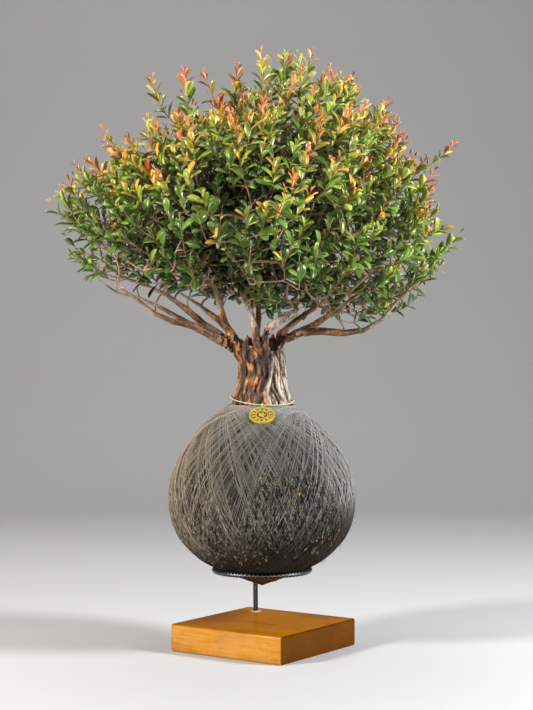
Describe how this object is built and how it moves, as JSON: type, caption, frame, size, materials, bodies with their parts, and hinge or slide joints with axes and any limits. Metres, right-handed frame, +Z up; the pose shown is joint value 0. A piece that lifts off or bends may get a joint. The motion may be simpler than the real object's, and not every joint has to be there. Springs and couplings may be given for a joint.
{
  "type": "kokedama moss ball plant",
  "caption": "Small-leaved tree growing out of a thread-wound moss ball, which sits in the ring of a bent ribbed steel bar standing in a square varnished wooden block.",
  "frame": {"origin": "centre of the wooden block's flat underside", "axes": "+Z up the tree, -Y the side that faces out, +X to the right as seen from that side"},
  "size_m": [0.5183, 0.4507, 0.7454],
  "materials": {
    "varnished_wood": "satin",
    "black_steel": "satin",
    "grey_thread": "matte",
    "moss": "matte",
    "soil": "matte",
    "bark": "matte",
    "foliage": "satin",
    "young_foliage": "satin",
    "pale_cord": "matte",
    "brass_tag": "polished"
  },
  "bodies": {
    "root": {"wooden_base": "varnished_wood", "steel_stand": "black_steel", "thread_winding": "grey_thread", "moss_sheath": "moss", "soil_core": "soil", "tree_wood": "bark", "spray_01": "foliage", "spray_02": "foliage", "spray_03": "foliage", "spray_04": "foliage", "spray_05": "foliage", "spray_06": "foliage", "spray_07": "foliage", "spray_08": "foliage", "spray_09": "foliage", "spray_10": "foliage", "spray_11": "foliage", "spray_12": "foliage", "spray_13": "foliage", "spray_14": "foliage", "spray_15": "foliage", "spray_16": "foliage", "spray_17": "foliage", "spray_18": "foliage", "spray_19": "young_foliage", "spray_20": "young_foliage", "spray_21": "young_foliage", "spray_22": "young_foliage", "spray_23": "young_foliage", "spray_24": "young_foliage", "spray_25": "young_foliage", "spray_26": "young_foliage", "spray_27": "foliage", "spray_28": "foliage", "spray_29": "foliage", "neck_cord": "pale_cord", "medallion": "brass_tag"}
  },
  "joints": []
}
